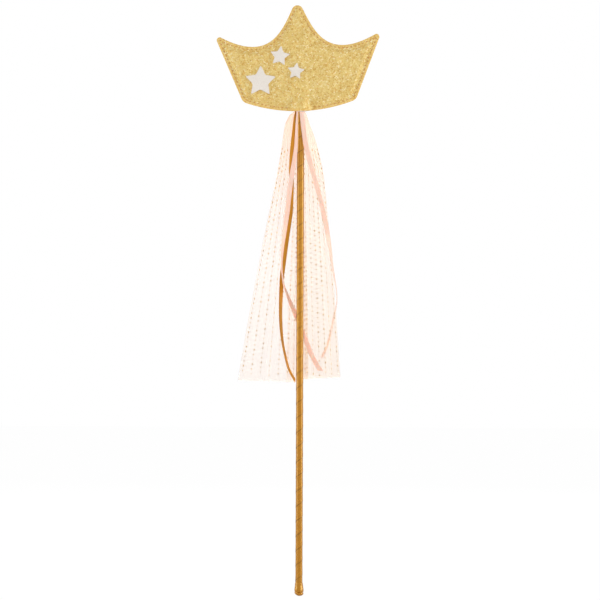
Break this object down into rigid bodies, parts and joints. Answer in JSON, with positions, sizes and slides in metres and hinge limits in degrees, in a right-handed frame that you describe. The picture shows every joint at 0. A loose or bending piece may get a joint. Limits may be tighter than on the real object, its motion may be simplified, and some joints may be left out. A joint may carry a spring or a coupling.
{
  "type": "toy magic wand",
  "caption": "Dress-up wand: a padded glitter-fabric crown with stars on a ribbon-wrapped stick, with net and satin ribbon streamers that swing from under the crown.",
  "frame": {"origin": "middle of the flat face at the butt end of the stick", "axes": "+Z along the stick towards the crown, +X to the right and -Y to the front as the crown's stars are seen"},
  "size_m": [0.1237, 0.0207, 0.4501],
  "materials": {
    "wood": "plain birch dowel",
    "gold_satin": "satin ribbon",
    "gold_glitter": "fine glitter on cloth",
    "white_felt": "felt",
    "hot_glue": "hot-melt glue",
    "gold_thread": "sewing thread",
    "cream_star": "smooth coated felt",
    "white_thread": "sewing thread",
    "pink_net": "soft tulle with glitter lines",
    "pink_satin": "satin ribbon"
  },
  "bodies": {
    "wand": {"dowel": "wood", "stick_wrap": "gold_satin", "butt_fold": "gold_satin", "crown_front_panel": "gold_glitter", "crown_back_panel": "gold_glitter", "crown_padding": "white_felt", "crown_glue": "hot_glue", "top_stitching": "gold_thread", "bobbin_stitching": "gold_thread", "large_star": "cream_star", "upper_star": "cream_star", "lower_star": "cream_star", "streamer_heads": "pink_net", "tie_thread": "white_thread"},
    "left_tail": {"left_tulle": "pink_net"},
    "right_tail": {"right_tulle": "pink_net"},
    "left_pink_streamer": {"pink_ribbon_left": "pink_satin"},
    "gold_streamer": {"gold_ribbon": "gold_satin"},
    "right_pink_streamer": {"pink_ribbon_right": "pink_satin"}
  },
  "joints": [
    {"name": "left_tail_swing", "type": "hinge", "parent": "wand", "child": "left_tail", "pos_m": [-0.0022, 0.0034, 0.3688], "axis": [0, 1, 0], "range_deg": [0, 45]},
    {"name": "right_tail_swing", "type": "hinge", "parent": "wand", "child": "right_tail", "pos_m": [0.0031, 0.0034, 0.3688], "axis": [0, -1, 0], "range_deg": [0, 45]},
    {"name": "left_pink_swing", "type": "hinge", "parent": "wand", "child": "left_pink_streamer", "pos_m": [-0.0026, -0.0034, 0.3688], "axis": [0, 1, 0], "range_deg": [0, 45]},
    {"name": "gold_swing", "type": "hinge", "parent": "wand", "child": "gold_streamer", "pos_m": [-0.0041, -0.0016, 0.3688], "axis": [0, 1, 0], "range_deg": [0, 45]},
    {"name": "right_pink_swing", "type": "hinge", "parent": "right_tail", "child": "right_pink_streamer", "pos_m": [0.0031, -0.0034, 0.3688], "axis": [0, -1, 0], "range_deg": [0, 25]}
  ]
}
